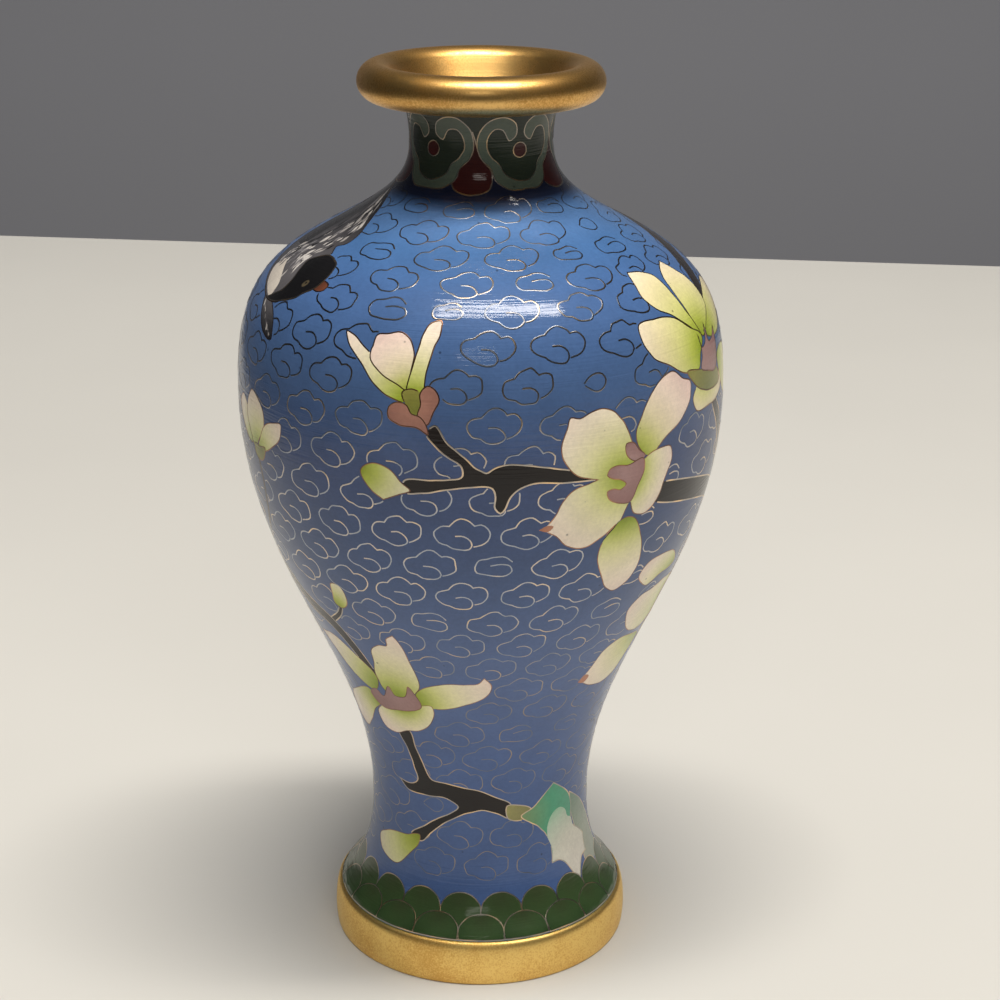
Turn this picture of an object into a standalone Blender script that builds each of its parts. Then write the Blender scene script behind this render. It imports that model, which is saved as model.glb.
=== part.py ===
"""Miniature cloisonne vase: a hollow enamelled copper body, a gilt mouth rim and a gilt foot ring.

Units are metres and +Z is up. The origin is the centre of the foot, on the surface that it stands on.
Every piece is turned about Z. The body's outer curve runs through five stations (foot edge, waist,
belly, shoulder, neck), each stacked on the one below, so a change of one height lifts all above it.
"""

import math

import bpy
from mathutils import Vector

# Heights of the stations, each above the one before
FOOT_RING_HEIGHT = 0.0049
WAIST_ABOVE_FOOT = 0.0113
BELLY_ABOVE_WAIST = 0.0487
SHOULDER_ABOVE_BELLY = 0.0182
NECK_ABOVE_SHOULDER = 0.0089
NECK_TOP_ABOVE_NECK = 0.0034

# Radii of the enamelled surface at the stations
FOOT_EDGE_RADIUS = 0.0162
WAIST_RADIUS = 0.0124
BELLY_RADIUS = 0.0263
SHOULDER_RADIUS = 0.0151
NECK_RADIUS = 0.0076
NECK_TOP_RADIUS = 0.0081
SHOULDER_SLOPE = math.radians(27.5)

# How full the curve is at each station, as a share of the height to the station beyond
FOOT_FULLNESS = 0.11
WAIST_FULLNESS_DOWN = 0.86
WAIST_FULLNESS_UP = 0.37
BELLY_FULLNESS_DOWN = 0.41
BELLY_FULLNESS_UP = 0.62
SHOULDER_FULLNESS_DOWN = 0.50
SHOULDER_FULLNESS_UP = 0.95
NECK_FULLNESS_DOWN = 0.30
NECK_FULLNESS_UP = 0.50

# The wall is spun copper with fused enamel outside it
COPPER_WALL = 0.0008
ENAMEL_COAT = 0.0008
FLOOR_RECESS = 0.0022
SOLDER_GAP = 0.0003

# The mouth rim is a turned brass ring with a round bead, a dished mouth and a collar
RIM_RADIUS = 0.0130
BEAD_RADIUS = 0.0020
BEAD_INNER_TURN = math.radians(62.5)
DISH_DEPTH = 0.0037
DISH_FLOOR_SLOPE = math.radians(26.0)
COLLAR_WALL = 0.0008
COLLAR_DEPTH = 0.0030

# The foot ring is a turned brass band, fullest low down and drawn in at its top edge
RING_STANDS_PROUD = 0.00075
RING_FULLEST_HEIGHT = 0.0020
RING_TOP_DRAW_IN = 0.0006
RING_BASE_DRAW_IN = 0.0002
RING_TOP_ROUND = 0.0004

# Fineness of the facets: sides around Z, and points along each span of the outlines
SEGMENTS = 56
SMOOTH_ANGLE = math.radians(35)
FOOT_TO_WAIST_COUNT = 7
WAIST_TO_BELLY_COUNT = 7
BELLY_TO_SHOULDER_COUNT = 6
SHOULDER_TO_NECK_COUNT = 5
NECK_TO_TOP_COUNT = 2
BEAD_COUNT = 11
DISH_COUNT = 4

# Sizes that follow from those above
WALL = COPPER_WALL + ENAMEL_COAT
FOOT_EDGE_HEIGHT = FOOT_RING_HEIGHT + SOLDER_GAP
WAIST_HEIGHT = FOOT_EDGE_HEIGHT + WAIST_ABOVE_FOOT
BELLY_HEIGHT = WAIST_HEIGHT + BELLY_ABOVE_WAIST
SHOULDER_HEIGHT = BELLY_HEIGHT + SHOULDER_ABOVE_BELLY
NECK_HEIGHT = SHOULDER_HEIGHT + NECK_ABOVE_SHOULDER
NECK_TOP_HEIGHT = NECK_HEIGHT + NECK_TOP_ABOVE_NECK
RIM_UNDERSIDE = NECK_TOP_HEIGHT + SOLDER_GAP
SKIRT_RADIUS = FOOT_EDGE_RADIUS - ENAMEL_COAT
COLLAR_RADIUS = NECK_RADIUS - WALL - SOLDER_GAP


def clear_scene():
    """Removes every object, so that the file holds the vase alone."""
    for thing in list(bpy.data.objects):
        bpy.data.objects.remove(thing)


def bezier(start, start_handle, end_handle, end, count):
    """Points along a cubic curve in the (radius, height) plane, without its first one."""
    points = []
    for step in range(1, count + 1):
        t = step / count
        s = 1 - t
        points.append(s**3 * start + 3 * s * s * t * start_handle + 3 * s * t * t * end_handle + t**3 * end)
    return points


def outer_curve():
    """The enamelled surface as (radius, height) points, from the foot edge up to the neck's top."""
    up = Vector((0, 1))
    inward = Vector((-math.cos(SHOULDER_SLOPE), math.sin(SHOULDER_SLOPE)))
    foot = Vector((FOOT_EDGE_RADIUS, FOOT_EDGE_HEIGHT))
    waist = Vector((WAIST_RADIUS, WAIST_HEIGHT))
    belly = Vector((BELLY_RADIUS, BELLY_HEIGHT))
    shoulder = Vector((SHOULDER_RADIUS, SHOULDER_HEIGHT))
    neck = Vector((NECK_RADIUS, NECK_HEIGHT))
    top = Vector((NECK_TOP_RADIUS, NECK_TOP_HEIGHT))
    spans = [
        (foot, up, FOOT_FULLNESS, waist, up, WAIST_FULLNESS_DOWN, FOOT_TO_WAIST_COUNT),
        (waist, up, WAIST_FULLNESS_UP, belly, up, BELLY_FULLNESS_DOWN, WAIST_TO_BELLY_COUNT),
        (belly, up, BELLY_FULLNESS_UP, shoulder, inward, SHOULDER_FULLNESS_DOWN, BELLY_TO_SHOULDER_COUNT),
        (shoulder, inward, SHOULDER_FULLNESS_UP, neck, up, NECK_FULLNESS_DOWN, SHOULDER_TO_NECK_COUNT),
        (neck, up, NECK_FULLNESS_UP, top, up, 0.0, NECK_TO_TOP_COUNT),
    ]
    points = [foot]
    for low, low_way, low_full, high, high_way, high_full, count in spans:
        rise = high.y - low.y
        points += bezier(low, low + low_way * low_full * rise, high - high_way * high_full * rise, high, count)
    return points


def inner_curve(outer):
    """The inside of the vessel: the outer curve moved in by the wall, from the floor up to the neck's top."""
    points = [Vector((SKIRT_RADIUS - COPPER_WALL, FLOOR_RECESS + COPPER_WALL))]
    for before, here, after in zip(outer, outer[1:], outer[2:]):
        along = (after - before).normalized()
        moved = here + Vector((-along.y, along.x)) * WALL
        if moved.y > points[-1].y and moved.y < NECK_TOP_HEIGHT:
            points.append(moved)
    points.append(Vector((NECK_TOP_RADIUS - WALL, NECK_TOP_HEIGHT)))
    return points


def turned(name, profile, material, collection):
    """A solid of revolution about Z. The profile runs down its outer side; a closed one ends where it starts."""
    mesh = bpy.data.meshes.new(name + "_profile")
    closed = profile[0] == profile[-1]
    points = profile[:-1] if closed else profile
    edges = [(i, i + 1) for i in range(len(points) - 1)]
    if closed:
        edges.append((len(points) - 1, 0))
    mesh.from_pydata([(p.x, 0, p.y) for p in points], edges, [])
    outline = bpy.data.objects.new(name + "_outline", mesh)
    collection.objects.link(outline)
    screw = outline.modifiers.new("Turned", "SCREW")
    screw.axis = "Z"
    screw.steps = SEGMENTS
    screw.render_steps = SEGMENTS
    screw.use_merge_vertices = True
    screw.merge_threshold = 0.00001
    shape = bpy.data.meshes.new_from_object(outline.evaluated_get(bpy.context.evaluated_depsgraph_get()))
    bpy.data.objects.remove(outline)
    bpy.data.meshes.remove(mesh)
    shape.name = name
    shape.shade_smooth()
    shape.set_sharp_from_angle(angle=SMOOTH_ANGLE)
    shape.materials.clear()
    shape.materials.append(material)
    piece = bpy.data.objects.new(name, shape)
    collection.objects.link(piece)
    return piece


def finish_material(name, colour, roughness, metallic, coat):
    """A Principled material with one plain colour."""
    material = bpy.data.materials.new(name)
    material.use_nodes = True
    shader = material.node_tree.nodes["Principled BSDF"]
    shader.inputs["Base Color"].default_value = (*colour, 1)
    shader.inputs["Roughness"].default_value = roughness
    shader.inputs["Metallic"].default_value = metallic
    shader.inputs["Coat Weight"].default_value = coat
    return material


def make_enamelled_body(material, collection):
    """The hollow vessel: copper skirt inside the foot ring, recessed floor, wall of copper and enamel."""
    outer = outer_curve()
    inside_radius = SKIRT_RADIUS - COPPER_WALL
    floor_top = FLOOR_RECESS + COPPER_WALL
    profile = [Vector((0, floor_top))]
    profile += inner_curve(outer)
    profile += reversed(outer)
    profile += [
        Vector((SKIRT_RADIUS, FOOT_EDGE_HEIGHT)),
        Vector((SKIRT_RADIUS, SOLDER_GAP)),
        Vector((inside_radius, SOLDER_GAP)),
        Vector((inside_radius, FLOOR_RECESS)),
        Vector((0, FLOOR_RECESS)),
    ]
    return turned("enamelled_body", profile, material, collection)


def make_mouth_rim(material, collection):
    """The gilt mouth: a round bead, a dish falling to the throat, and a collar that drops into the neck."""
    centre = Vector((RIM_RADIUS - BEAD_RADIUS, RIM_UNDERSIDE + BEAD_RADIUS))
    throat_radius = COLLAR_RADIUS - COLLAR_WALL
    collar_bottom = RIM_UNDERSIDE - COLLAR_DEPTH
    lip_angle = math.pi / 2 + BEAD_INNER_TURN
    lip_end = centre + Vector((math.cos(lip_angle), math.sin(lip_angle))) * BEAD_RADIUS
    dish_foot = Vector((throat_radius, lip_end.y - DISH_DEPTH))
    reach = (lip_end - dish_foot).length / 3
    dish_way = Vector((math.cos(DISH_FLOOR_SLOPE), math.sin(DISH_FLOOR_SLOPE)))
    lip_way = Vector((math.cos(BEAD_INNER_TURN), math.sin(BEAD_INNER_TURN)))
    profile = [Vector((throat_radius, collar_bottom)), dish_foot]
    profile += bezier(dish_foot, dish_foot + dish_way * reach, lip_end - lip_way * reach, lip_end, DISH_COUNT)
    turn = lip_angle + math.pi / 2
    for step in range(1, BEAD_COUNT + 1):
        angle = lip_angle - turn * step / BEAD_COUNT
        profile.append(centre + Vector((math.cos(angle), math.sin(angle))) * BEAD_RADIUS)
    profile += [
        Vector((COLLAR_RADIUS, RIM_UNDERSIDE)),
        Vector((COLLAR_RADIUS, collar_bottom)),
        Vector((throat_radius, collar_bottom)),
    ]
    return turned("mouth_rim", profile, material, collection)


def make_foot_ring(material, collection):
    """The gilt foot: a band round the copper skirt, standing a little proud of the enamel's edge."""
    inside = SKIRT_RADIUS + SOLDER_GAP
    fullest = FOOT_EDGE_RADIUS + RING_STANDS_PROUD
    shoulder = fullest - RING_TOP_DRAW_IN
    side_top = FOOT_RING_HEIGHT - RING_TOP_ROUND
    middle = (RING_FULLEST_HEIGHT + side_top) / 2
    quarter_turn = RING_TOP_ROUND * (1 - math.sqrt(0.5))
    profile = [
        Vector((inside, 0)),
        Vector((inside, FOOT_RING_HEIGHT)),
        Vector((shoulder - RING_TOP_ROUND, FOOT_RING_HEIGHT)),
        Vector((shoulder - quarter_turn, FOOT_RING_HEIGHT - quarter_turn)),
        Vector((shoulder, side_top)),
        Vector((fullest - RING_TOP_DRAW_IN / 4, middle)),
        Vector((fullest, RING_FULLEST_HEIGHT)),
        Vector((fullest - RING_BASE_DRAW_IN, 0)),
        Vector((inside, 0)),
    ]
    return turned("foot_ring", profile, material, collection)


clear_scene()
vase = bpy.data.collections.new("miniature_cloisonne_vase")
bpy.context.scene.collection.children.link(vase)
enamel = finish_material("Blue enamel", (0.045, 0.115, 0.36), 0.12, 0.0, 0.5)
gilding = finish_material("Gilt brass", (0.72, 0.45, 0.14), 0.28, 1.0, 0.0)
make_enamelled_body(enamel, vase)
make_mouth_rim(gilding, vase)
make_foot_ring(gilding, vase)
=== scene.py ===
import math
import random

import bpy
import numpy as np
from mathutils import Matrix, Vector
from mathutils.geometry import delaunay_2d_cdt
from mathutils.kdtree import KDTree


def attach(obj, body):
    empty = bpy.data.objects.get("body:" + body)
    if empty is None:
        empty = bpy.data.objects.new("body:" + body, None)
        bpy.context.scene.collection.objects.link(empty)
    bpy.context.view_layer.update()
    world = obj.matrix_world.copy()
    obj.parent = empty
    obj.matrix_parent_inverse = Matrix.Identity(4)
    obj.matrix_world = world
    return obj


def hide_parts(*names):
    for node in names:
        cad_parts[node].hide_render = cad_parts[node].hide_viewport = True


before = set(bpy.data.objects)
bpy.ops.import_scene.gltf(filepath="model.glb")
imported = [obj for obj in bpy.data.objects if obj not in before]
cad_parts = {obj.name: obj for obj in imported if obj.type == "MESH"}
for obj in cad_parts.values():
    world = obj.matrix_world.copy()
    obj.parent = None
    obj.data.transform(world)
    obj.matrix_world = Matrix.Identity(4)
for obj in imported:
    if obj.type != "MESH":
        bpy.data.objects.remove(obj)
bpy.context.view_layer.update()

# Spun copper shell. The real vessel is a thin copper shell, spun on a lathe to a baluster shape with a
# short neck. Wires and enamel cover it, and its foot and neck edges are left bare for the gilt rings.
# Sizes are in millimetres: foot edge, waist, belly, shoulder, neck and neck top, as (radius, height).
FOOT_EDGE = (16.2, 5.2)
WAIST = (12.4, 16.5)
BELLY = (26.3, 65.2)
SHOULDER = (15.1, 83.4)
NECK = (7.6, 92.3)
NECK_TOP = (8.1, 95.7)
SHOULDER_SLOPE = math.radians(27.5)
WALL = 1.6
MM = 0.001
POINTS_PER_SPAN = 60


def bezier(a, a_way, b_way, b, count):
    """Points along a cubic curve from a to b, without the first one; the ways are its two handles."""
    t = np.linspace(0, 1, count + 1)[1:, None]
    s = 1 - t
    a, b, a_way, b_way = (np.array(p, float) for p in (a, b, a_way, b_way))
    return s**3 * a + 3 * s * s * t * (a + a_way) + 3 * s * t * t * (b - b_way) + t**3 * b


def shell_curve():
    """The outside of the shell as close (radius, height) points, from the foot edge to the neck's top."""
    up = np.array((0.0, 1.0))
    inward = np.array((-math.cos(SHOULDER_SLOPE), math.sin(SHOULDER_SLOPE)))
    # Each span is its low end, the way there and the handle's share of the rise, and its high end likewise.
    spans = (
        (FOOT_EDGE, up, 0.11, WAIST, up, 0.86),
        (WAIST, up, 0.37, BELLY, up, 0.41),
        (BELLY, up, 0.62, SHOULDER, inward, 0.50),
        (SHOULDER, inward, 0.95, NECK, up, 0.30),
        (NECK, up, 0.50, NECK_TOP, up, 0.0),
    )
    runs = [np.array([FOOT_EDGE], float)]
    for low, low_way, low_full, high, high_way, high_full in spans:
        rise = high[1] - low[1]
        leave, reach = low_way * low_full * rise, high_way * high_full * rise
        runs.append(bezier(low, leave, reach, high, POINTS_PER_SPAN))
    return np.concatenate(runs)


shell = shell_curve()
steps = np.hypot(*np.diff(shell, axis=0).T)
shell_along = np.concatenate([[0.0], np.cumsum(steps)])
shell_way = np.gradient(shell, shell_along, axis=0)
shell_way /= np.linalg.norm(shell_way, axis=1)[:, None]
FULL_LENGTH = float(shell_along[-1])


def radius_at(along):
    """Radius of the shell in mm, so many mm up along its surface from the foot edge."""
    return np.interp(along, shell_along, shell[:, 0])


def on_shell(place, lift=0.0):
    """Points in metres for (azimuth in degrees, mm along) pairs, lifted off the surface by some mm."""
    place = np.asarray(place, float)
    turn, along = np.radians(place[:, 0]), place[:, 1]
    height = np.interp(along, shell_along, shell[:, 1])
    out, rise = shell_normal(along)
    reach = radius_at(along) + out * lift
    return np.stack([reach * np.sin(turn), -reach * np.cos(turn), height + rise * lift], axis=1) * MM


def shell_normal(along):
    """Outward and upward parts of the surface's normal."""
    out = np.interp(along, shell_along, shell_way[:, 1])
    rise = -np.interp(along, shell_along, shell_way[:, 0])
    size = np.hypot(out, rise)
    return out / size, rise / size


def normals_on_shell(place):
    """The surface's outward normals at (azimuth in degrees, mm along) pairs."""
    place = np.asarray(place, float)
    turn = np.radians(place[:, 0])
    out, rise = shell_normal(place[:, 1])
    return np.stack([out * np.sin(turn), -out * np.cos(turn), rise], axis=1)


# Bent cloisons. Flat copper wire, up to a quarter of a millimetre thick, is bent to the outlines of the
# design and stood on the copper before any enamel goes in. Each closed outline is a cell with its own
# colour. A sketch is in millimetres about a spot on the shell; a third value of 1 marks a sharp bend.
WIRE_STEP = 0.3
KINK_DEPTH = 0.035
BOUGH_POINTS = 8
cells = []
ripple = random.Random(11)


def hermite(t, a, b, leave, reach):
    """Between a and b at a share t of the way, leaving a and reaching b with these slopes."""
    first = (2 * t**3 - 3 * t**2 + 1) * a + (t**3 - 2 * t**2 + t) * leave
    return first + (3 * t**2 - 2 * t**3) * b + (t**3 - t**2) * reach


def bend(points, closed=True, step=WIRE_STEP):
    """A smooth wire through the points of a sketch, with sharp bends where the third value is 1."""
    flat = np.array([p[:2] for p in points], float)
    sharp = [len(p) > 2 for p in points]
    count = len(flat)
    if closed:
        legs = [(i, (i + 1) % count) for i in range(count)]
    else:
        legs = [(i, i + 1) for i in range(count - 1)]
        sharp[0] = sharp[-1] = True
    span = {leg: max(float(np.hypot(*(flat[leg[1]] - flat[leg[0]]))), 1e-6) for leg in legs}

    def slope(i, leg):
        """The wire's way at a point, per mm, for one of the two legs that meet there."""
        if sharp[i]:
            return (flat[leg[1]] - flat[leg[0]]) / span[leg]
        before, after = ((i - 1) % count, i), (i, (i + 1) % count)
        into = (flat[i] - flat[before[0]]) / span[before]
        out = (flat[after[1]] - flat[i]) / span[after]
        return (into * span[after] + out * span[before]) / (span[before] + span[after])

    wire = []
    for leg in legs:
        pieces = max(1, round(span[leg] / step))
        t = (np.arange(pieces) / pieces)[:, None]
        leave, reach = slope(leg[0], leg) * span[leg], slope(leg[1], leg) * span[leg]
        wire.append(hermite(t, flat[leg[0]], flat[leg[1]], leave, reach))
    if not closed:
        wire.append(flat[-1:])
    return np.concatenate(wire)


def smooth_through(there, values):
    """Values between those at 0, 1, 2 and so on, joined without kinks."""
    values = np.asarray(values, float)
    slope = np.gradient(values)
    i = np.minimum(there.astype(int), len(values) - 2)
    return hermite(there - i, values[i], values[i + 1], slope[i], slope[i + 1])


def rippled(wire, step=3):
    """The small kinks that pliers and fingers leave in a wire, some hundredths of a millimetre deep."""
    kinks = np.array([[ripple.uniform(-KINK_DEPTH, KINK_DEPTH) for _ in "xy"] for _ in wire[::step]])
    if len(kinks) < 3:
        return wire
    at = np.clip(np.arange(len(wire)) / step, 0, len(kinks) - 1)
    return wire + np.stack([smooth_through(at, kink) for kink in kinks.T], axis=1)


def lay(sketch, azimuth, along, turn=0.0, size=1.0, mirrored=False):
    """Lays a sketch on the shell about a spot: (azimuth, mm along) pairs of the same real size."""
    x, y = sketch[:, 0] * size, sketch[:, 1] * size
    if mirrored:
        x = -x
    c, s = math.cos(math.radians(turn)), math.sin(math.radians(turn))
    x, y = x * c - y * s, x * s + y * c
    y = y + along
    return np.stack([azimuth + np.degrees(x / radius_at(y)), y], axis=1)


def cell(points, glaze, spot, root=(0.0, 0.0), wired=True):
    """One closed cell: its outline on the shell, its glaze, and the root that the colour fades out from."""
    outline = lay(rippled(bend(points)), *spot)
    middle = lay(np.array([root], float), *spot)[0]
    cells.append({"outline": outline, "glaze": glaze, "root": middle, "wired": wired})


def bough(route, widths, glaze="bark", wired=True):
    """A branch along a route of (azimuth, mm along) spots, as wide in mm as widths say at each."""
    route = np.array(route, float)
    radius = radius_at(route[:, 1]).mean()
    spread = np.stack([np.radians(route[:, 0]) * radius, route[:, 1], widths], axis=1)
    there = np.linspace(0, len(route) - 1, BOUGH_POINTS * (len(route) - 1) + 1)
    line = np.stack([smooth_through(there, column) for column in spread.T], axis=1)
    way = np.gradient(line[:, :2], axis=0)
    way /= np.hypot(way[:, 0], way[:, 1])[:, None]
    side = np.stack([-way[:, 1], way[:, 0]], axis=1) * line[:, 2:] / 2
    ring = np.concatenate([line[:, :2] + side, (line[:, :2] - side)[::-1]])
    outline = np.stack([np.degrees(ring[:, 0] / radius), ring[:, 1]], axis=1)
    cells.append({"outline": outline, "glaze": glaze, "root": outline[0], "wired": wired})


# Magnolia boughs, wired first because the petals lie over them. Dark twigs with a short spur, from the
# opening bud to the large flower, and on round the belly; a second spray crosses the lower body.
BELLY_TWIG = (5.0, 61.3)
cell([(-7.4, 4.6), (-6.5, 3.3), (-5.2, 2.2), (-3.9, 1.3), (-3.8, 0.4), (-5.2, -0.1), (-6.8, -0.2),
      (-9.8, -0.7), (-9.8, -1.7), (-8.0, -1.7), (-5.5, -1.2), (-3.0, -0.8), (-0.9, -1.0), (-0.55, -1.9),
      (-0.6, -3.2), (-0.1, -3.7), (0.4, -3.2), (1.0, -1.8), (2.0, -1.0), (3.2, -0.6), (6.4, -0.8),
      (10.4, -0.9, 1), (7.5, 0.3), (5.2, 0.9), (3.0, 1.3), (-0.1, 1.4), (-0.8, 1.1), (-1.5, 0.7), (-2.2, 1.0),
      (-3.7, 2.3), (-5.4, 3.8), (-6.6, 5.4)], "bark", BELLY_TWIG)
bough([(66, 66.5), (69, 64.4), (74, 61.6), (80, 57.0), (84, 53.0)], [0.9, 1.3, 1.6, 1.7, 1.5])
bough([(122, 55.4), (128, 60.4), (131, 65.0)], [1.5, 1.2, 0.9])
bough([(42, 57.6), (50, 56.8), (60, 55.8), (71, 54.5), (84, 52.6), (96, 53.4), (108, 56.0), (122, 55.4),
       (138, 52.2), (152, 50.6)], [2.0, 2.5, 2.5, 2.4, 2.1, 1.7, 1.8, 2.0, 1.8, 1.4])
bough([(112, 87.4), (106, 86.0), (98, 83.8), (90, 81.4), (83, 79.0), (77, 76.0), (71, 72.0)],
      [0.3, 1.4, 2.5, 2.6, 2.3, 1.8, 1.2])
bough([(-50, 39.9), (-44, 41.7), (-41, 43.6)], [0.7, 0.55, 0.4])
bough([(-124, 49.0), (-130, 54.6), (-133, 60.0)], [1.3, 1.0, 0.8])
bough([(-138, 45.4), (-124, 49.0), (-114, 49.8), (-104, 49.2), (-92, 48.0), (-80, 45.6), (-70, 43.4),
       (-60, 41.2), (-51, 39.6), (-45, 37.0), (-39, 32.6)],
      [1.0, 1.5, 1.7, 1.9, 2.2, 2.2, 2.1, 2.0, 1.8, 1.6, 1.2])
LOWER_TWIG = (-28.4, 17.3)
cell([(-2.1, 8.2), (-1.5, 5.2), (-0.95, 2.6), (-0.75, 1.1), (-2.0, 0.3), (-3.5, 0.5, 1), (-2.2, -0.6),
      (0.2, -0.7), (3.0, -0.8), (3.9, -1.6), (3.0, -2.5), (1.5, -3.4), (-0.1, -4.6), (-2.0, -6.3),
      (-0.9, -6.8), (0.7, -5.3), (2.9, -3.4), (5.2, -2.2), (6.8, -1.9), (8.2, -2.4), (9.7, -3.2), (9.8, -1.4),
      (8.1, -0.2), (6.5, 0.6), (4.4, 1.1), (2.7, 1.4), (1.0, 1.6), (0.4, 3.1), (-0.3, 5.5),
      (-0.9, 8.2)], "bark", LOWER_TWIG)
cell([(9.4, -1.5), (10.9, -1.7), (12.2, -2.4), (12.0, -3.3), (10.7, -3.6), (9.5, -3.2)], "olive", LOWER_TWIG)
bough([(-63, 59.6), (-62, 57.4), (-62.5, 54.6), (-66, 51.0), (-77, 46.0)],
      [0.5, 0.45, 0.45, 0.6, 0.9], "twig", wired=False)

# Large open flower on the belly: two broad petals drawn as one cell, three more round them, and mauve
# stamens. The same cells are used again, turned or mirrored, for a flower on the far side.
OPEN_FLOWER = (
    ([(1.5, 3.1), (1.4, 4.4), (2.1, 5.8), (3.6, 7.9), (5.2, 9.1), (6.8, 9.4), (8.7, 8.2), (9.9, 7.7),
      (9.9, 6.3), (8.5, 4.4), (6.0, 3.1), (2.9, 1.5)], "rosy petal"),
    ([(1.0, 3.0, 1), (0.4, 4.4), (-0.4, 5.8), (-1.4, 6.8), (-2.8, 7.3), (-4.0, 7.1), (-5.2, 6.6), (-6.2, 6.8),
      (-6.6, 5.6), (-7.2, 3.8), (-6.9, 2.4), (-5.2, 0.6), (-3.0, -0.05, 1), (-4.2, -0.35), (-5.5, -0.7),
      (-6.8, -2.0), (-7.4, -3.5), (-8.0, -4.35), (-8.7, -4.9, 1), (-8.0, -5.3), (-7.1, -5.8), (-5.8, -7.1),
      (-4.0, -7.7), (-1.6, -6.6), (0.2, -5.2, 1), (1.4, -2.0)], "petal"),
    ([(2.7, 1.2), (5.1, 1.9), (6.4, 1.7), (6.8, 0.5), (5.9, -1.6), (5.4, -3.2), (4.3, -4.6), (3.1, -5.1),
      (2.0, -4.8), (1.3, -3.6), (1.3, -1.8)], "petal"),
    ([(0.8, -5.0), (2.0, -5.3), (3.2, -7.2), (4.1, -9.9), (4.0, -12.3), (2.8, -13.9), (1.4, -14.4),
      (0.3, -13.7), (-0.8, -11.8), (-1.8, -9.2), (-1.5, -7.2), (-0.3, -5.6)], "petal"),
    ([(0.1, 3.2), (0.9, 3.3), (1.8, 2.3), (2.7, 1.5), (2.1, 1.1), (1.1, 1.3), (0.1, 2.3)], "stamen"),
    ([(-1.8, 0.8), (-1.0, 1.1), (0.4, 0.9), (2.5, 1.3), (2.7, 0.1), (1.9, -1.6), (1.1, -3.3), (0.0, -3.2),
      (-1.7, -2.3), (-1.9, -1.6), (-1.1, -1.4), (-0.3, -1.6), (0.4, -1.1), (-0.3, -0.5), (-1.4, -0.2),
      (-2.0, 0.2)], "stamen"),
)


def lay_cells(parts, *spot, petals="petal"):
    """Lays the cells of a flower or bud on one spot: outline, glaze and, if it has one, the fade's root."""
    for outline, glaze, *root in parts:
        cell(outline, petals if glaze == "petal" else glaze, spot, *root)


# Flowers seen from the side: one high on the right, whose far petals pass out of sight, and one low on
# the left with a cup of short petals.
SIDE_PETALS = (
    [(3.0, 1.5), (4.3, 3.3), (7.5, 5.3), (11.2, 5.9), (12.8, 4.8), (11.0, 2.2), (6.5, 0.6)],
    [(5.4, -1.4), (8.6, -0.9), (12.2, -3.6), (12.9, -6.5), (10.4, -6.9), (6.6, -4.6)],
    [(-0.9, -3.0), (-2.0, -4.4), (-1.4, -5.6), (1.5, -5.9), (4.5, -5.8), (6.5, -4.8), (5.6, -3.2),
     (2.4, -2.4)],
    [(2.6, 10.6, 1), (3.8, 9.0), (5.0, 7.5), (5.7, 6.0), (5.8, 4.2), (4.0, 2.6), (2.0, 1.4), (0.5, 3.8),
      (-0.1, 6.8), (0.3, 8.8), (1.3, 9.9)],
    [(-4.1, 10.8, 1), (-2.4, 10.4), (-1.0, 9.5), (-0.6, 7.5), (-0.1, 5.0), (1.5, 1.5), (-0.6, 3.1),
      (-2.8, 4.8), (-4.8, 6.2), (-5.3, 7.2), (-4.9, 9.0)],
    [(-8.3, 4.7), (-5.7, 5.0), (-3.2, 4.7), (-0.8, 3.1), (1.6, 1.4), (0.4, -0.2), (-0.2, -1.4), (-1.4, -1.7),
      (-3.2, -1.3), (-5.6, 0.0), (-7.8, 1.3), (-8.6, 3.0)],
)
SIDE_BASE = [(-2.8, -1.3), (-0.3, -1.6), (2.4, -2.2), (5.1, -2.8), (5.7, -3.9), (1.8, -4.3), (-1.4, -3.0)]
SIDE_STAMENS = [(0.6, 1.9, 1), (1.2, 0.4), (1.9, 0.6), (2.8, 2.6, 1), (3.2, 0.6), (4.4, 0.7), (5.6, 1.7, 1),
                (5.4, -0.6), (4.4, -2.6), (2.0, -2.3), (0.2, -1.6), (0.8, -0.4)]
SIDE_FLOWER = (*((petal, "petal", (1.5, 0.0)) for petal in SIDE_PETALS), (SIDE_BASE, "calyx", (1.5, -4.0)),
               (SIDE_STAMENS, "stamen"))
CUP_FLOWER = (
    ([(-10.6, 6.6, 1), (-7.4, 7.0), (-4.4, 5.2), (-2.2, 2.7), (-3.2, 0.3), (-6.1, 1.5),
      (-8.8, 4.4)], "petal"),
    ([(-1.7, 5.6), (-1.5, 7.2), (-0.2, 8.3), (0.9, 8.6), (1.1, 9.6), (2.1, 10.4, 1), (2.7, 9.2), (3.1, 6.5),
      (3.0, 2.3), (1.0, 0.6), (-1.4, 0.6), (-2.2, 3.0)], "petal"),
    ([(2.4, 1.4), (4.3, 3.0), (5.8, 3.6), (8.6, 3.9), (9.9, 4.0), (10.8, 5.0, 1), (11.3, 3.8), (10.3, 2.0),
      (7.9, 0.7), (4.6, -0.4), (2.3, 0.0)], "petal"),
    ([(-9.8, -3.6), (-6.8, -0.9), (-4.4, 0.1), (-3.0, -1.3), (-4.6, -3.3), (-6.0, -5.4), (-7.6, -6.9),
      (-9.6, -5.8)], "petal"),
    ([(-4.0, -3.2), (-2.9, -1.9), (0.0, -1.3), (4.0, -0.3), (3.7, -1.9), (2.7, -3.4), (1.4, -4.4),
      (-0.2, -4.8), (-1.5, -5.5), (-3.3, -5.3)], "petal"),
    ([(-4.2, -0.2), (-3.1, 0.6), (-2.3, -0.2), (-0.9, 1.7), (-0.4, 0.5), (0.8, 0.6), (1.8, 2.5), (2.4, 1.2),
      (2.7, -0.2), (-0.9, -1.9), (-2.9, -2.1)], "stamen"),
)

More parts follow.
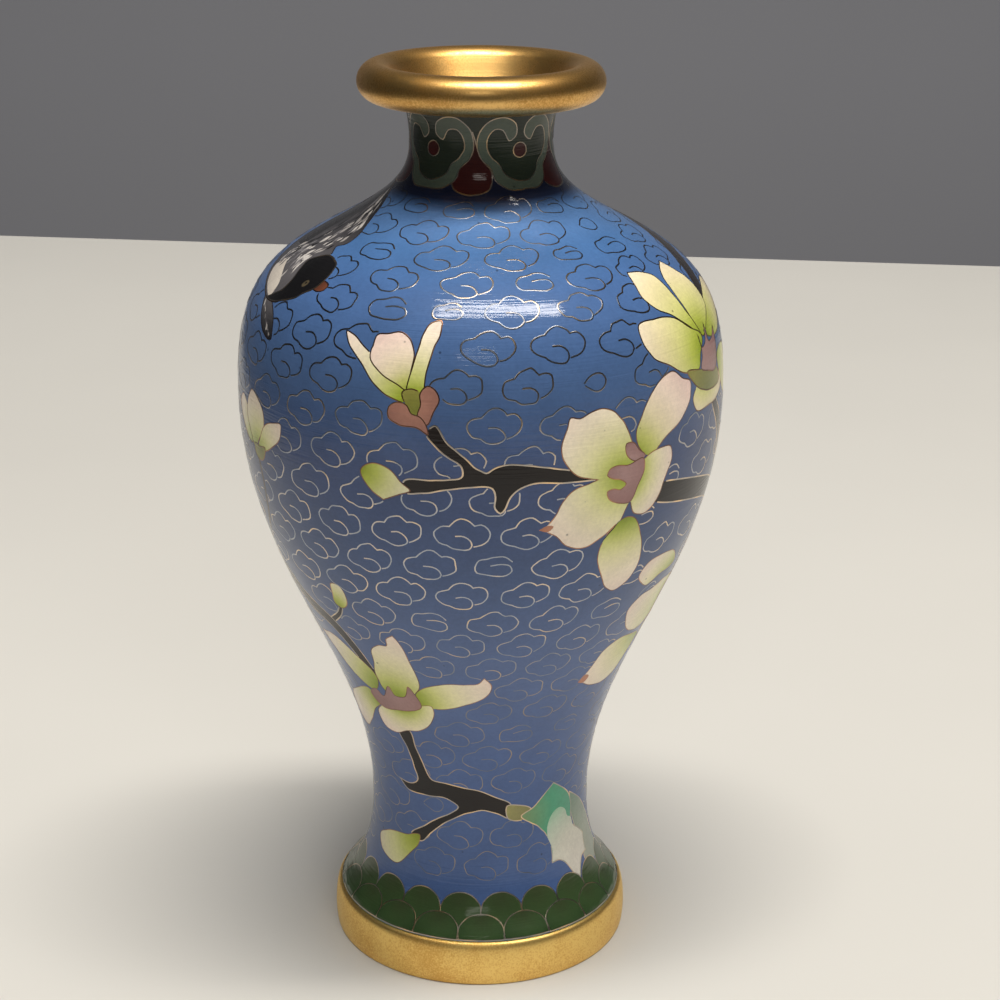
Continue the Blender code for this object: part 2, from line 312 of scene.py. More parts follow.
# Buds: one opening, with three petals in a pinkish brown husk, and plain closed ones on short twigs.
OPENING_BUD = (
    ([(-8.0, 6.7), (-7.2, 6.5), (-5.8, 5.5), (-4.6, 4.6), (-2.8, 2.8), (-1.0, 1.5), (-0.9, 0.6), (-2.8, 0.9),
      (-4.4, 2.0), (-5.9, 3.8), (-7.7, 5.8)], "petal"),
    ([(-4.8, 5.6), (-4.4, 6.8), (-3.3, 7.0), (-2.0, 7.3), (-0.9, 6.6), (-0.4, 5.2), (-0.6, 3.2), (-0.9, 1.6),
      (-1.9, 2.1), (-3.9, 3.2), (-5.0, 4.5)], "rosy petal"),
    ([(0.9, 8.5), (1.8, 8.8), (2.0, 7.8), (1.5, 5.8), (1.0, 3.6), (0.4, 1.1), (-0.7, 0.9), (-0.4, 4.0),
      (0.0, 5.9), (0.3, 7.3)], "petal"),
    ([(-1.3, 1.5), (-0.9, 0.2), (-0.3, -0.7), (0.4, -0.9), (0.8, 0.0), (0.5, 1.5), (-0.4, 1.8)], "calyx"),
    ([(0.5, 1.5), (1.2, 2.2), (2.0, 1.8), (2.4, 0.9), (1.9, -0.3), (1.2, -1.7), (0.3, -0.8),
      (0.6, 0.4)], "husk"),
    ([(-2.7, -0.2), (-1.9, 0.4), (-0.9, 0.2), (-0.3, -0.7), (0.4, -0.9), (1.2, -1.7), (1.4, -2.6),
      (0.2, -2.0), (-1.7, -1.8), (-2.7, -1.2)], "husk"),
)
CLOSED_BUD = (
    ([(-2.5, 1.0), (-1.5, 1.7), (-0.3, 1.7), (0.8, 1.2), (1.7, 0.2), (2.7, -0.7), (1.6, -1.2),
      (-0.2, -2.0, 1), (-1.5, -1.1)], "bud", (-2.5, 1.0)),
)

# The near side's flowers and buds, each on its spot. A thorn of bark shows between the large flower's
# petals, and one petal has a rust tip.
OPEN_FLOWER_SPOT = (33.8, 60.4)
lay_cells(OPEN_FLOWER, *OPEN_FLOWER_SPOT)
cell([(0.3, -5.0, 1), (-0.8, -6.1), (-1.8, -7.5, 1), (-1.2, -6.9)], "bark", OPEN_FLOWER_SPOT, wired=False)
cell([(-9.0, -4.95, 1), (-8.1, -4.5), (-7.5, -4.6), (-8.0, -5.25)], "rust", OPEN_FLOWER_SPOT, wired=False)
lay_cells(SIDE_FLOWER, 61.0, 70.4, petals="lime petal")
lay_cells(CUP_FLOWER, -31.7, 30.1)
lay_cells(OPENING_BUD, -13.8, 68.4)
lay_cells(CLOSED_BUD, -20.9, 60.5)
cell([(-0.9, 1.6), (0.2, 1.6), (0.7, 0.6), (0.5, -0.8), (-0.6, -1.8), (-1.4, -1.5), (-1.3, 0.0)], "bud",
     (-40.0, 44.6), root=(-1.2, -1.6))
cell([(-3.6, 0.1), (-2.2, 1.1), (-0.6, 1.7), (1.6, 2.1), (3.4, 2.5), (3.3, 1.5), (2.3, 0.2), (0.2, -1.9),
      (-1.4, -1.8), (-2.8, -1.3)], "bud", (-48.0, 8.7), root=(3.4, 2.4))

# A spray that passes out of sight at the right: petals of a flower whose heart is round the corner.
RIGHT_SPRAY = (57.4, 40.4)
for outline in (
    [(-3.4, 5.1), (-4.5, 6.6), (-3.9, 7.7), (-1.3, 8.2), (1.9, 7.4), (3.4, 5.6), (-0.3, 5.0), (-2.2, 4.4)],
    [(5.6, 2.9), (2.6, 3.5), (-0.2, 3.2), (-2.4, 2.9), (-3.5, 1.6), (-2.8, -0.5), (-1.6, -2.0), (0.9, -3.0),
     (4.2, -2.4)],
    [(-5.7, -8.1, 1), (-3.2, -9.5), (-1.3, -9.8), (0.8, -9.3), (2.2, -7.4), (3.0, -4.6), (0.4, -3.5),
     (-2.9, -3.3), (-4.2, -4.1), (-4.9, -6.2)],
    [(6.4, 2.8), (7.6, 6.4), (10.6, 7.9), (12.4, 5.8), (10.4, 2.0)],
    [(4.2, -3.4), (4.9, -7.2), (7.2, -9.6), (9.6, -7.6), (8.2, -3.6)],
    [(8.6, -1.2), (12.2, 1.4), (15.4, 0.2), (14.2, -3.2), (9.8, -3.4)],
):
    cell(outline, "petal", RIGHT_SPRAY, root=(6.5, -0.4))
cell([(-5.9, -8.2, 1), (-5.3, -7.2), (-4.5, -7.7), (-4.9, -8.5)], "rust", RIGHT_SPRAY, wired=False)
cell([(4.6, 1.4), (6.2, 2.9), (7.4, 1.6), (9.2, 1.2), (8.8, -0.8), (9.6, -2.8), (7.2, -2.4), (5.6, -3.4),
      (5.0, -1.2)], "stamen", RIGHT_SPRAY)

# A half-open flower at the left edge, and the sea-green bloom with a white cup above the foot.
LEFT_SPRIG = (-60.7, 59.9)
for outline in (
    [(-3.0, 3.8), (-4.6, 4.8), (-6.2, 3.6), (-5.0, 1.6), (-2.2, 0.2), (-2.2, 2.0)],
    [(-1.7, 6.1), (-0.2, 5.6), (1.2, 4.4), (1.3, 3.0), (-0.2, 1.0), (-1.4, -0.2), (-2.5, 1.4), (-3.3, 3.2),
     (-2.8, 4.9)],
    [(1.4, 2.9), (3.2, 3.7), (4.8, 3.9), (4.7, 2.8), (2.6, 0.8), (1.0, 0.0), (-0.5, -0.2), (0.4, 1.6)],
):
    cell(outline, "petal", LEFT_SPRIG, root=(-0.3, -0.6))
cell([(-1.5, 0.3), (0.0, 0.3), (1.2, 0.5), (0.9, -0.6), (-0.2, -1.3), (-1.4, -0.9)], "calyx", LEFT_SPRIG)

BLOOM = (44.3, 13.3)
cell([(2.2, 1.8, 1), (4.4, 0.2), (6.8, -2.4), (9.0, -5.4), (10.6, -8.8, 1), (8.0, -8.8), (5.4, -8.6),
      (5.0, -7.2), (5.4, -5.6), (4.4, -4.3), (3.4, -2.8), (2.7, -1.0)], "grey green", BLOOM, root=(5.0, -7.0))
cell([(-4.8, 0.9), (-3.4, 1.7), (-2.0, 3.0), (-0.9, 4.2, 1), (0.6, 3.1), (2.0, 1.7), (2.6, 0.2), (2.6, -1.3),
      (3.3, -2.9), (4.0, -3.4, 1), (4.6, -3.9), (5.6, -4.9, 1), (5.5, -5.9), (5.7, -7.0, 1), (4.6, -7.1),
      (3.6, -8.3), (2.9, -9.8, 1), (2.0, -8.0), (0.9, -6.4), (0.0, -5.9), (-0.9, -5.9, 1), (-0.8, -4.2),
      (-1.4, -2.5), (-2.4, -1.1), (-3.6, -0.2)], "sea green", BLOOM, root=(-4.6, 0.6))
cell([(-1.3, -2.7, 1), (-1.3, -1.2), (-0.5, 0.2), (0.6, 0.5), (1.5, -0.1), (2.0, -1.2), (2.6, -1.5),
      (3.25, -2.95), (4.0, -3.45, 1), (4.6, -3.95), (5.5, -4.95, 1), (5.4, -5.9), (5.6, -6.95, 1),
      (4.5, -7.1), (3.5, -8.3), (2.9, -9.6, 1), (2.05, -8.0), (0.95, -6.35), (0.0, -5.85), (-0.85, -5.8, 1),
      (-0.75, -4.2)], "white cup", BLOOM,
     root=(3.4, -7.4), wired=False)

# A small bird on the left shoulder, head down towards the bud: black head with a brown beak, grey and
# white streaked body, and long dark feathers that run up to the neck.
BIRD = (-55.4, 79.4)
for outline, glaze, wired in (
    ([(-6.2, -3.2), (-4.2, -3.6), (-2.6, -4.5), (-1.3, -6.0), (-0.9, -7.4), (-2.4, -7.2), (-4.8, -5.6)],
     "feather", True),
    ([(-2.2, 0.4), (-1.0, 2.6), (-0.6, 3.6), (-1.2, 4.8), (-0.2, 5.6), (-0.2, 7.0), (-1.2, 9.4), (-2.6, 12.4),
      (-5.0, 15.2, 1), (-7.4, 14.0), (-9.6, 10.4), (-11.2, 6.0), (-12.2, 1.4), (-11.2, -1.0), (-8.4, -2.8),
      (-5.0, -3.9), (-2.2, -3.4)], "feather", True),
    ([(-12.0, 2.6), (-8.6, 2.7), (-7.4, 5.4), (-6.4, 8.6), (-4.9, 12.2), (-4.8, 15.0), (-7.3, 13.9),
      (-9.5, 10.3), (-11.0, 6.0)], "black", False),
    ([(-9.8, -1.0), (-8.2, -2.4), (-6.4, -3.2), (-4.9, -3.5), (-4.6, -2.2), (-6.2, -0.6), (-8.4, 0.5)],
     "cream", False),
    ([(1.5, 0.4), (2.5, 0.4), (3.5, -0.1), (3.4, -0.7), (2.6, -1.0), (1.7, -0.8)], "beak", True),
    ([(0.7, 3.2), (1.8, 2.6), (2.3, 1.3), (2.3, 0.1), (1.9, -0.9), (1.0, -1.6), (0.2, -2.4), (-1.4, -3.1),
      (-3.6, -3.8), (-5.6, -3.8, 1), (-4.2, -3.1), (-3.0, -2.2), (-2.6, -0.8), (-2.9, 0.5), (-3.1, 1.8),
      (-2.2, 2.7), (-0.8, 3.4)], "black", True),
    ([(-0.3, -0.9), (-0.2, -0.4), (0.2, -0.1), (0.5, -0.3), (0.4, -0.8), (0.0, -1.1)], "eye", False),
    ([(0.0, -0.5), (0.15, -0.3), (0.3, -0.5), (0.15, -0.7)], "black", False),
):
    cell(outline, glaze, BIRD, root=(-3.0, 0.0), wired=wired)

# The bird's feathers are thin licks of white, grey and black enamel laid side by side without wires.
LICK_COUNT = 130
THROAT_LICK_COUNT = 16
LICK_REACH = 4.5
LICK_TONES = ("white lick", "pale lick", "grey lick", "dark lick", "black")
BACK_LINE = np.array([(-10.4, -0.6), (-9.4, 1.8), (-7.6, 4.0), (-6.2, 7.0), (-5.2, 10.4), (-4.8, 14.0)])
BREAST_LINE = np.array([(-3.4, -2.4), (-3.4, 1.6), (-1.8, 4.2), (-1.0, 6.6), (-1.8, 9.6), (-3.6, 13.0)])
licks = random.Random(3)


def on_line(line, there):
    """The spot at a place along a smooth line through spots, counted in spots."""
    return np.array([smooth_through(np.array([there]), column)[0] for column in line.T])


def lick_cell(line, half_width, tone):
    """One lick of enamel along four spots of the bird's sketch, drawn out to a point at both ends."""
    a, b, c, d = (np.array(p, float) for p in line)
    across = np.array((b[1] - c[1], c[0] - b[0]))
    across *= half_width / np.hypot(*across)
    outline = [(*a, 1), tuple(b + across), tuple(c + across), (*d, 1), tuple(c - across), tuple(b - across)]
    cell(outline, tone, BIRD, wired=False)


for _ in range(LICK_COUNT):
    start = LICK_REACH * licks.uniform(0, 1) ** 1.3
    side = licks.uniform(0.04, 0.96)
    spine = []
    for there in np.linspace(start, start + licks.uniform(0.35, 0.6), 4):
        back, breast = on_line(BACK_LINE, there), on_line(BREAST_LINE, there)
        spine.append(back + (breast - back) * (side + licks.uniform(-0.02, 0.02)))
    shade = licks.gauss(1.5 + 0.9 * (start / LICK_REACH) + 2.4 * (0.5 - side), 1.7)
    lick_cell(spine, licks.uniform(0.11, 0.23), LICK_TONES[min(len(LICK_TONES) - 1, max(0, round(shade)))])
for number in range(THROAT_LICK_COUNT):
    x, y = -5.4 + 0.26 * number, -3.9 - 0.2 * number
    end = (x + licks.uniform(0.1, 0.5), y - licks.uniform(0.5, 0.9))
    line = [(x, y), (x + 0.1, y - 0.25), (end[0], end[1] + 0.2), end]
    lick_cell(line, licks.uniform(0.06, 0.1), licks.choice(LICK_TONES))

# Far side, in keeping and plainer: the boughs run on round the back with three more flowers and buds.
bough([(152, 50.6), (164, 53.0), (176, 56.6), (188, 59.4)], [1.4, 1.3, 1.1, 0.9])
bough([(150, 23.4), (158, 19.0), (166, 15.4)], [1.1, 0.9, 0.7])
bough([(118, 24.6), (132, 22.4), (150, 23.4), (170, 26.6), (186, 31.0)], [1.0, 1.3, 1.4, 1.3, 1.0])
lay_cells(OPEN_FLOWER, 157.0, 50.4, 12.0, 0.95, True)
lay_cells(OPENING_BUD, 133.0, 67.4, -14.0)
lay_cells(CLOSED_BUD, 191.5, 60.6, 200.0)
lay_cells(SIDE_FLOWER, 218.0, 44.0, 18.0, 0.9, True)
lay_cells(OPENING_BUD, 224.5, 62.4, 8.0)
lay_cells(CUP_FLOWER, 190.0, 32.6, -24.0, 0.9)
lay_cells(CLOSED_BUD, 114.0, 25.0, -18.0)
lay_cells(CLOSED_BUD, 169.0, 14.2, 150.0, 0.9)

# Collar of five cloud-scroll heads round the neck, with dark red drops between them, on green.
HEAD_COUNT = 5
HEAD_PITCH = 360 / HEAD_COUNT
FIRST_HEAD = 32.0
COLLAR_MIDDLE = 97.6
COLLAR_GREEN_FROM = 98.6
DROP_SHIFT = -2.5
PAST_SEAM = 190
SPOT_RADIUS = 0.8
HALF_HEAD = [(1.8, -3.0), (3.0, -2.0), (3.2, -0.9), (4.2, 0.2), (4.6, 1.6), (4.3, 3.2), (3.2, 4.3),
             (1.7, 4.4), (0.6, 3.6), (0.55, 2.5), (1.3, 2.0)]
HALF_HEAD_INSIDE = [(1.6, 2.5), (2.0, 3.1), (2.9, 3.2), (3.5, 2.5), (3.6, 1.3), (3.1, 0.3), (2.3, -0.4),
                    (1.9, -1.3), (1.0, -2.0)]
RED_DROP = [(0.0, 3.0, 1), (1.0, 0.2), (2.1, -1.4), (1.9, -2.9), (0.0, -3.6), (-1.9, -2.9), (-2.1, -1.4),
            (-1.0, 0.2)]
ROUND_SPOT = [(SPOT_RADIUS * math.cos(a), SPOT_RADIUS * math.sin(a)) for a in np.radians(range(0, 360, 45))]


def mirror_image(points):
    """The same points on the other side, in reverse order, so that they carry on round the outline."""
    return [(-x, y) for x, y in reversed(points)]


green_corners = [(-PAST_SEAM, COLLAR_GREEN_FROM), (PAST_SEAM, COLLAR_GREEN_FROM),
                 (PAST_SEAM, FULL_LENGTH + 1), (-PAST_SEAM, FULL_LENGTH + 1)]
green_top = np.array(green_corners, float)
cells.append({"outline": green_top, "glaze": "bottle green", "root": green_top[0], "wired": False})
for number in range(HEAD_COUNT):
    azimuth = FIRST_HEAD + HEAD_PITCH * number
    cell(RED_DROP, "oxblood", (azimuth + HEAD_PITCH / 2 + DROP_SHIFT, COLLAR_MIDDLE), root=(0.0, 2.0))
for number in range(HEAD_COUNT):
    spot = (FIRST_HEAD + HEAD_PITCH * number, COLLAR_MIDDLE)
    head = [(0.0, -3.1), *HALF_HEAD, *mirror_image(HALF_HEAD)]
    cell(head, "bottle green", spot, wired=False)
    half_scroll = HALF_HEAD + HALF_HEAD_INSIDE
    scroll = [(0.0, -3.1), *half_scroll, (0.0, -2.2), *mirror_image(half_scroll)]
    cell(scroll, "celadon", spot, root=(0.0, -3.0))
    cell(ROUND_SPOT, "oxblood", (spot[0], spot[1] + 1.0))

# Foot border of two rows of overlapping green scales, one row set half a scale round from the other.
SCALE_COUNT = 19
SCALE_PITCH = 360 / SCALE_COUNT
FIRST_SCALE = 10.5
SCALE_HEIGHT = 2.3
SCALE_FOOT = 0.12
UPPER_VALLEY = 3.1
LOWER_VALLEY = 0.75
for first, valley in ((FIRST_SCALE, UPPER_VALLEY), (FIRST_SCALE + SCALE_PITCH / 2, LOWER_VALLEY)):
    for number in range(SCALE_COUNT):
        azimuth = first + SCALE_PITCH * number
        width = math.radians(SCALE_PITCH) * float(radius_at(valley)) / 2
        arch = [(-width * math.cos(a), SCALE_HEIGHT * math.sin(a)) for a in np.radians(range(0, 181, 20))]
        arch[0] = (*arch[0], 1)
        arch[-1] = (*arch[-1], 1)
        foot = [(width, SCALE_FOOT - valley, 1), (-width, SCALE_FOOT - valley, 1)]
        cell([*arch, *foot], "scale green", (azimuth, valley), root=(0.0, SCALE_HEIGHT))

# Cloud scrolls: the ground between the pictures is filled with small closed clouds in staggered rows, with
# drops in the gaps. They strengthen the large field of blue enamel, and stop where a picture begins.
CLOUD = [(-0.64, -0.16), (0.26, -0.13), (0.92, -0.56), (1.09, -1.13), (0.77, -1.6), (0.0, -1.77),
         (-0.77, -1.69), (-1.41, -1.29, 1), (-2.18, -1.05), (-2.62, -0.56), (-2.68, 0.08), (-2.32, 0.62),
         (-1.73, 0.85), (-1.28, 0.93, 1), (-0.77, 1.49), (-0.13, 1.8), (0.51, 1.8), (1.03, 1.42),
         (1.28, 1.14, 1), (1.9, 1.28), (2.5, 0.92), (2.68, 0.3), (2.5, -0.46), (1.92, -0.97), (1.24, -1.21)]
SMALL_CLOUD = [(-0.4, 0.1), (0.7, 0.3), (1.7, 0.0), (1.9, -0.7), (1.3, -1.2), (0.2, -1.3), (-0.9, -1.1),
               (-1.8, -0.9), (-2.1, -0.1), (-1.6, 0.8), (-0.7, 1.0), (0.2, 1.3), (1.1, 1.15), (1.8, 0.55)]
DROP = [(-1.4, 0.05), (-0.7, 0.65), (0.1, 0.95), (0.8, 0.7), (1.15, 0.0), (0.8, -0.75), (0.1, -1.0),
        (-0.7, -0.65), (-1.35, -0.15)]
CLOUD_PITCH = 6.8
CLOUD_ROOM = 6.1
ROW_SLACK = 0.1
TOP_ROW = 92.2
LAST_ROW_ABOVE = 6.5
ROW_STEP = 3.5
BELLY_ROW_STEP = 3.85
BELLY_ROWS = (45, 80)
FIRST_CLOUD = 3.8
LEAST_IN_ROW = 13
LEAST_SHOWN = 0.5
LEAST_DROP_SHOWN = 0.75
PICTURE_REACH = 14
NEIGHBOURS = 70
SMALLER_CHOICES = ((CLOUD, 0.9), (SMALL_CLOUD, 0.8), (DROP, 1.0), (DROP, 0.75))
WIRE_GAP = 0.5
NESTING = 0.5
cloud_wires = []


def inside(places, outline):
    """True for each (azimuth, mm along) place that is inside a closed outline."""
    around = outline[:, 0].mean()
    x = (places[:, 0] - around + 180) % 360 - 180
    y = places[:, 1]
    ax, ay = outline[:, 0] - around, outline[:, 1]
    bx, by = np.roll(ax, -1), np.roll(ay, -1)
    rising = (ay[None] > y[:, None]) != (by[None] > y[:, None])
    level = np.where(by == ay, 1e-9, by - ay)
    crossing = ax[None] + (y[:, None] - ay[None]) / level[None] * (bx - ax)[None]
    return (rising & (x[:, None] < crossing)).sum(axis=1) % 2 == 1


def shown_runs(wire, closed, covers):
    """The stretches of a wire that no covering cell hides."""
    hidden = np.zeros(len(wire), bool)
    for outline in covers:
        hidden |= inside(wire, outline)
    if closed and not hidden.any():
        return [(wire, True)]
    if closed:
        start = int(np.argmax(hidden))
        wire, hidden = np.roll(wire, -start, axis=0), np.roll(hidden, -start)
    runs, run = [], []
    for place, gone in zip(wire, hidden):
        if gone:
            runs.append(run)
            run = []
        else:
            run.append(place)
    runs.append(run)
    return [(np.array(r), False) for r in runs if len(r) > 2]


def nearest_turn(azimuth, others):
    """The turn in degrees, to either side, from an azimuth to the nearest of some others."""
    return min(((other - azimuth + 180) % 360 - 180 for other in others), key=abs)


def spread_out(azimuths, least):
    """The same azimuths in order round the vase, moved apart where two are nearer than the least turn."""
    count = len(azimuths)
    for _ in range(40):
        for i in range(count):
            j = (i + 1) % count
            short = least - (azimuths[j] - azimuths[i]) % 360
            if short > 0:
                azimuths[i] -= short / 2
                azimuths[j] += short / 2
    return azimuths


def clear_of_others(wire, others):
    """True if a wire keeps its distance from the clouds laid before it."""
    gaps = (np.linalg.norm(wire[:, None] - other[None], axis=2).min() for other in others)
    return all(gap > WIRE_GAP * MM for gap in gaps)


pictures = [c["outline"] for c in cells]
scatter = random.Random(7)
row_above = []
row_places = []
laid = []
along = TOP_ROW
while along > LAST_ROW_ABOVE:
    row_places.append(along)
    along -= BELLY_ROW_STEP if BELLY_ROWS[0] <= along <= BELLY_ROWS[1] else ROW_STEP
# The first five rows start at azimuths of their own.
FIRST_AZIMUTHS = {0: -11.5, 1: 0.7, 2: 8.9, 3: -6.1, 4: 10.5}
for row, along in enumerate(row_places):
    around = 2 * math.pi * float(radius_at(along))
    count = max(LEAST_IN_ROW, round(around / CLOUD_PITCH))
    pitch = 360 / count
    first = FIRST_AZIMUTHS.get(row, FIRST_CLOUD if row % 2 == 1 else FIRST_CLOUD + pitch / 2)
    azimuths = sorted((first + pitch * number) % 360 for number in range(count))
    if row_above:
        gaps = [(a + b) / 2 for a, b in zip(row_above, row_above[1:] + [row_above[0] + 360])]
        azimuths = sorted(a + NESTING * nearest_turn(a, gaps) for a in azimuths)
    azimuths = spread_out(azimuths, 360 * min(CLOUD_ROOM, around / count - ROW_SLACK) / around)
    row_above = azimuths
    for azimuth in azimuths:
        spot = along + scatter.uniform(-0.12, 0.12)
        size = scatter.uniform(0.93, 1.03)
        lean = scatter.uniform(-6, 6)
        kind = scatter.random()
        first_choice = CLOUD if kind < 0.90 else SMALL_CLOUD if kind < 0.97 else DROP
        near = [picture for picture in pictures if abs(picture[:, 1].mean() - spot) < PICTURE_REACH]
        for sketch, share in ((first_choice, 1.0), *SMALLER_CHOICES):
            uneven = [(scatter.uniform(0.96, 1.04), scatter.uniform(0.95, 1.05)) for _ in sketch]
            wobble = [(p[0] * wide, p[1] * high, *p[2:]) for p, (wide, high) in zip(sketch, uneven)]
            kinked = rippled(bend(wobble, closed=False, step=0.35), step=2)
            wire = lay(kinked, azimuth, spot, lean, size * share)
            runs = shown_runs(wire, False, near)
            shown = sum(len(run) for run, _ in runs) / len(wire)
            least = LEAST_DROP_SHOWN if sketch is DROP else LEAST_SHOWN
            if shown > least and clear_of_others(on_shell(wire), laid[-NEIGHBOURS:]):
                cloud_wires += runs
                laid.append(on_shell(wire))
                break

# Gilt copper wire. The cloisons' edges are ground flush with the glass, polished and gilded, which gives
# the eye fine bright lines that flash where they face a light and go dark where they face a dark room.
# They are thinnest towards the foot and on the neck. The widths are (mm along, mm wide) pairs.
WIRE_WIDTHS = ((10, 0.12), (34, 0.125), (48, 0.14), (62, 0.155), (76, 0.19), (94, 0.19), (96, 0.11))
# A wire's middle stands this much over the glass, and its edges lie a little under it.
CROWN = 0.02
BELOW_GLASS = 0.004
SHARPEST_BEND = 0.55
WEAR_SIZE = 2.381


def hex_colour(code):
    """sRGB hex to linear red, green and blue."""
    channels = [int(code[i:i + 2], 16) / 255 for i in (1, 3, 5)]
    return [c / 12.92 if c <= 0.04045 else ((c + 0.055) / 1.055) ** 2.4 for c in channels]


def add_node(tree, kind, inputs=None, **settings):
    """Adds one node. Settings are the node's own; inputs are values, or sockets to link from."""
    made = tree.nodes.new("ShaderNode" + kind)
    for name, value in settings.items():
        setattr(made, name, value)
    for name, value in (inputs or {}).items():
        if isinstance(value, bpy.types.NodeSocket):
            tree.links.new(value, made.inputs[name])
        else:
            made.inputs[name].default_value = value
    return made


def new_material(name):
    """An empty node material, its tree and the place on the piece, in metres."""
    material = bpy.data.materials.new(name)
    material.use_nodes = True
    tree = material.node_tree
    tree.nodes.clear()
    return material, tree, add_node(tree, "TexCoord").outputs["Object"]


def scale_for(size):
    """The scale of a pattern whose features are so many millimetres across."""
    return 1 / (size * MM)


def limits(low, high, at_low, at_high):
    """The inputs that make a MapRange node run from one value at low to another at high."""
    return {"From Min": low, "From Max": high, "To Min": at_low, "To Max": at_high}


def set_stops(ramp, *stops):
    """Gives a colour ramp's two ends their positions and colours."""
    for element, (position, code) in zip(ramp.color_ramp.elements, stops):
        element.position = position
        element.color = (*hex_colour(code), 1)


def gilt_copper_wire(name, dull_tone, bright_tone, shade_below_belly, shade_on_shoulder):
    """Gilding worn thin here and there, polished, which gives lines that glint unevenly. Their colour is also
    darkened by these shares below the belly and on the shoulder, as painted shade where the wires mirror a
    dark room."""
    material, tree, place = new_material(name)
    wear = add_node(tree, "TexNoise", {"Vector": place, "Scale": scale_for(WEAR_SIZE), "Detail": 2.0})
    worn = wear.outputs["Fac"]
    tone = add_node(tree, "ValToRGB", {"Fac": worn})
    set_stops(tone, (0.42, dull_tone), (0.68, bright_tone))
    height = add_node(tree, "SeparateXYZ", {"Vector": place}).outputs["Z"]
    # Painted shade: the colour is darkened below the belly and on the shoulder, where the wires mirror a dark
    # room.
    waist = add_node(tree, "MapRange", {"Value": height, **limits(34 * MM, 50 * MM, shade_below_belly, 1.0)})
    shoulder = add_node(tree, "MapRange", {"Value": height, **limits(64 * MM, 78 * MM, 1.0, shade_on_shoulder)})
    tarnish_and_painted_shade = add_node(tree, "Math", {0: waist.outputs["Result"], 1: shoulder.outputs["Result"]},
                       operation="MULTIPLY").outputs["Value"]
    uneven = add_node(tree, "MapRange", {"Value": worn, **limits(0.35, 0.65, 0.75, 1.15)}).outputs["Result"]
    both = add_node(tree, "Math", {0: tarnish_and_painted_shade, 1: uneven}, operation="MULTIPLY").outputs["Value"]
    colour = add_node(tree, "VectorMath", {0: tone.outputs["Color"], "Scale": both}, operation="SCALE")
    dull = add_node(tree, "MapRange", {"Value": worn, **limits(0, 1, 0.4, 0.24)}).outputs["Result"]
    shader = add_node(tree, "BsdfPrincipled", {
        "Base Color": colour.outputs["Vector"], "Metallic": 1.0, "Roughness": dull})
    add_node(tree, "OutputMaterial", {"Surface": shader.outputs["BSDF"]})
    return material


def mesh_object(name, points, faces, material):
    """A new mesh object in the scene, with its material."""
    mesh = bpy.data.meshes.new(name)
    mesh.from_pydata(points, [], faces)
    mesh.materials.append(material)
    made = bpy.data.objects.new(name, mesh)
    bpy.context.scene.collection.objects.link(made)
    return made


def ribbon(wire, closed, width):
    """A crowned ribbon along a wire, of so many wire widths: points in metres, three across, and faces."""
    middle = on_shell(wire)
    ahead = np.roll(middle, -1, axis=0) - middle
    behind = middle - np.roll(middle, 1, axis=0)
    if not closed:
        ahead[-1], behind[0] = behind[-1], ahead[0]
    ahead /= np.linalg.norm(ahead, axis=1)[:, None] + 1e-12
    behind /= np.linalg.norm(behind, axis=1)[:, None] + 1e-12
    way = ahead + behind
    half_bend = np.clip(np.linalg.norm(way, axis=1) / 2, SHARPEST_BEND, 1)
    way /= np.linalg.norm(way, axis=1)[:, None] + 1e-12
    normal = normals_on_shell(wire)
    wide = width * np.interp(wire[:, 1], *zip(*WIRE_WIDTHS))
    side = np.cross(normal, way) * (wide * MM / 2 / half_bend)[:, None]
    low = normal * -(CROWN + BELOW_GLASS) * MM
    points = np.stack([middle + side + low, middle, middle - side + low], axis=1).reshape(-1, 3)
    count = len(wire)
    faces = []
    for i in range(count if closed else count - 1):
        a, b = 3 * i, 3 * ((i + 1) % count)
        faces += [(a, a + 1, b + 1, b), (a + 1, a + 2, b + 2, b + 1)]
    return points, faces


def wires_mesh(name, runs, width, material):
    """One mesh of many ribbons."""
    points, faces, base = [], [], 0
    for wire, closed in runs:
        some, theirs = ribbon(wire, closed, width)
        points.append(some)
        faces += [tuple(base + i for i in face) for face in theirs]
        base += len(some)
    piece = mesh_object(name, np.concatenate(points).tolist(), faces, material)
    piece.data.shade_smooth()
    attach(piece, "root")


bough_wires, petal_wires = [], []
for number, one in enumerate(cells):
    if one["wired"]:
        covers = [other["outline"] for other in cells[number + 1:]]
        runs = shown_runs(one["outline"], True, covers)
        if "petal" in one["glaze"] or one["glaze"] in ("stamen", "husk", "calyx", "bud", "feather", "beak"):
            petal_wires += runs
        else:
            bough_wires += runs
# The clouds' gilding is tarnished grey, the boughs' is polished bright, and the petals' is worn through to
# brown copper. Each has its width, in wire widths, its two tones, and its shares of painted shade below the
# belly and on the shoulder.
for name, runs, width, gilding in (
    ("cloud_wires", cloud_wires, 1.0, ("gilt_wire_tarnished_and_painted_shade", "#b4bac6", "#d0bca2", 0.48, 0.35)),
    ("bough_wires", bough_wires, 1.25, ("gilt_wire_polished", "#c9bfb4", "#e6c59a", 0.85, 0.6)),
    ("petal_wires", petal_wires, 0.85, ("copper_wire_worn_bare", "#8a6656", "#b98a64", 0.8, 0.55)),
):
    wires_mesh(name, runs, width, gilt_copper_wire(*gilding))
